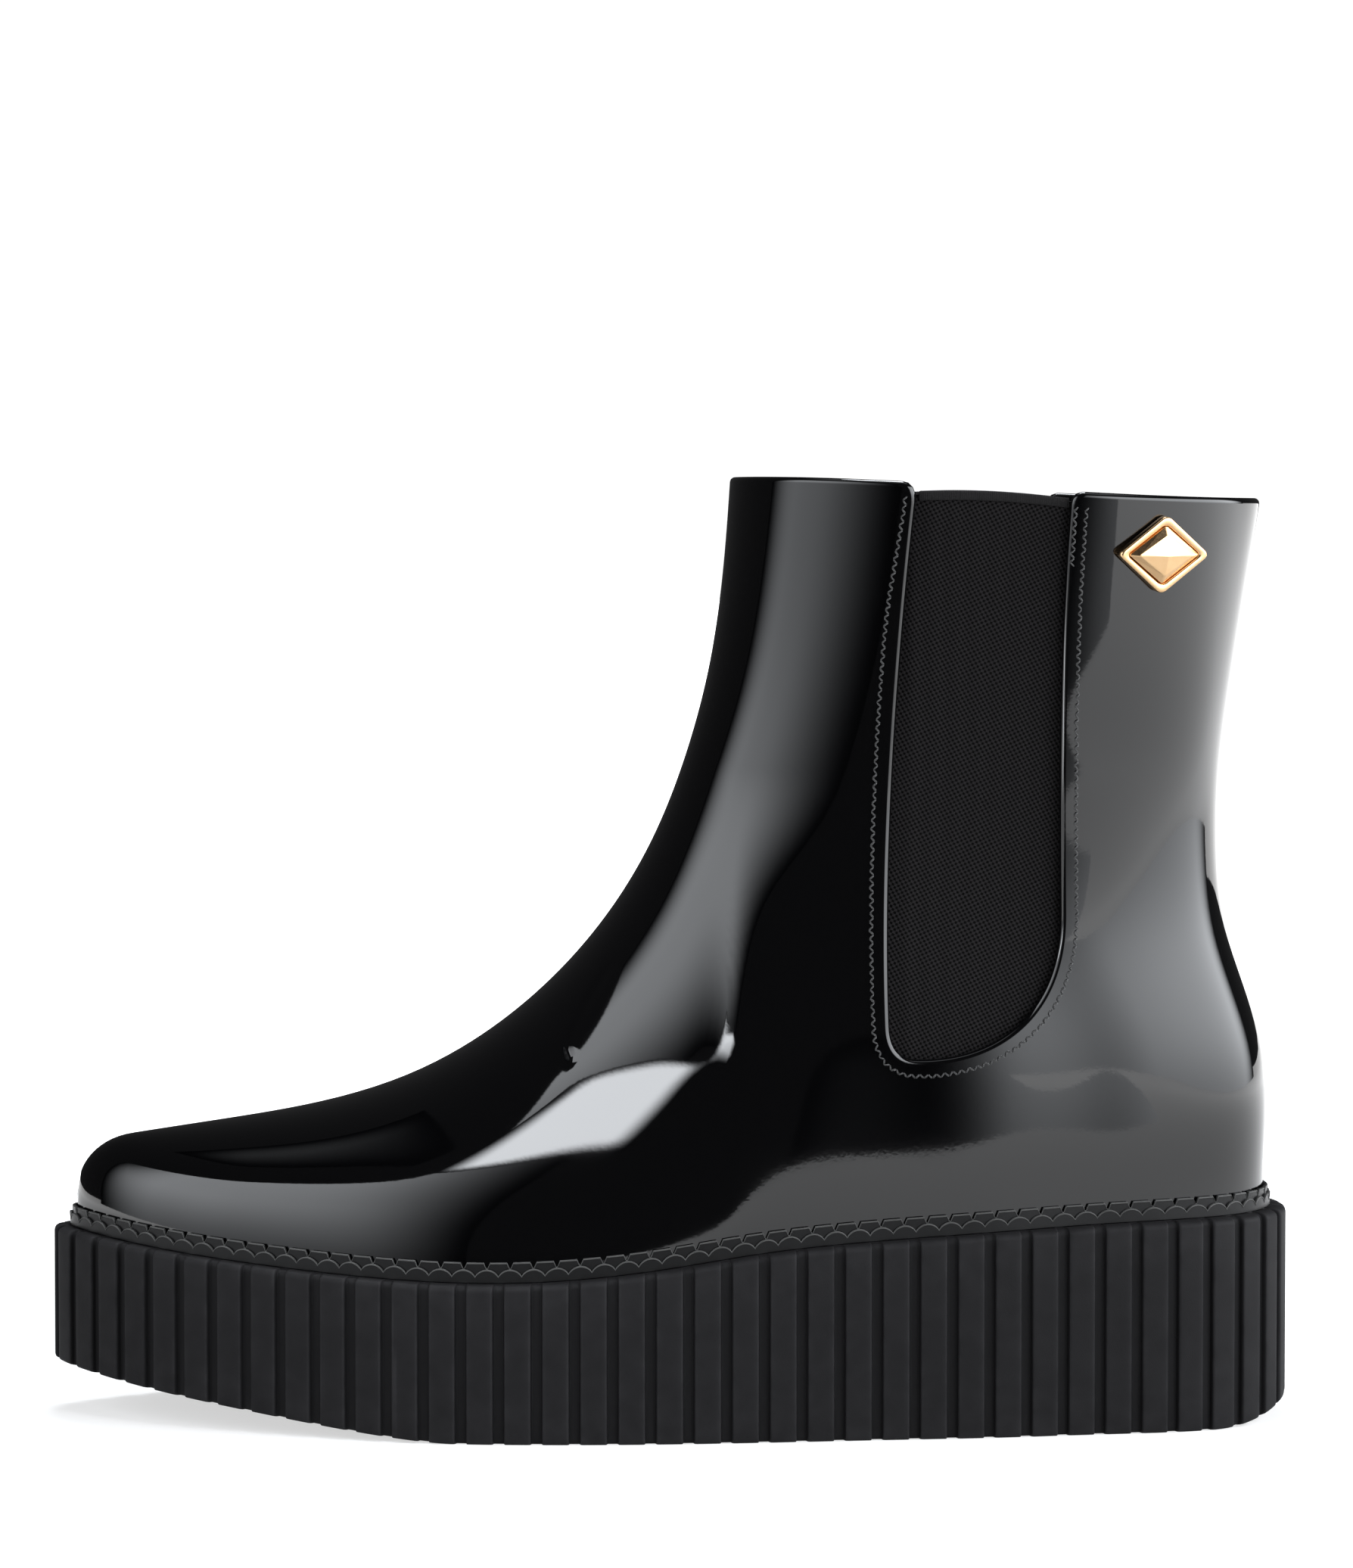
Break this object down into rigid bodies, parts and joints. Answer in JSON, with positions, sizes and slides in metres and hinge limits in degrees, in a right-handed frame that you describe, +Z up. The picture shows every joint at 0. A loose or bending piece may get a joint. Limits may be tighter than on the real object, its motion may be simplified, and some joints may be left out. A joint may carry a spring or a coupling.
{
  "type": "platform chelsea rain boot",
  "caption": "Glossy moulded ankle boot for the left foot, with elastic side gussets, a scalloped welt and a thick ribbed rubber platform sole.",
  "frame": {"origin": "on the ground, under the middle of the sole's bounding box", "axes": "+X from the toe to the heel, +Y to the inner side of the foot, +Z up"},
  "size_m": [0.2856, 0.1014, 0.2164],
  "materials": {
    "glossy_pvc": "mirror-gloss moulded PVC, black",
    "welt_pvc": "semi-gloss moulded PVC, black",
    "matt_rubber": "matt moulded rubber, black",
    "elastic": "woven elastic, black",
    "elastic_tape": "fine ribbed woven tape, black",
    "thread": "polyester sewing thread, black",
    "gold_metal": "polished pale gold plate",
    "steel": "plain zinc-plated steel",
    "foam": "closed-cell foam, dark grey",
    "board": "pressed fibre board",
    "sock_cloth": "brushed knit sock lining, black"
  },
  "bodies": {
    "root": {"platform_sole": "matt_rubber", "foam_core_forefoot": "foam", "foam_core_heel": "foam", "insole_board": "board", "footbed_foam": "foam", "footbed_cover": "sock_cloth", "welt_strip": "welt_pvc", "upper_shell": "glossy_pvc", "gusset_lateral": "elastic", "gusset_medial": "elastic", "gusset_binding_lateral": "elastic_tape", "gusset_binding_medial": "elastic_tape", "seam_thread_lateral": "thread", "seam_thread_medial": "thread", "badge_frame": "gold_metal", "badge_stud": "gold_metal", "badge_push_nut_front": "steel", "badge_push_nut_rear": "steel"}
  },
  "joints": []
}
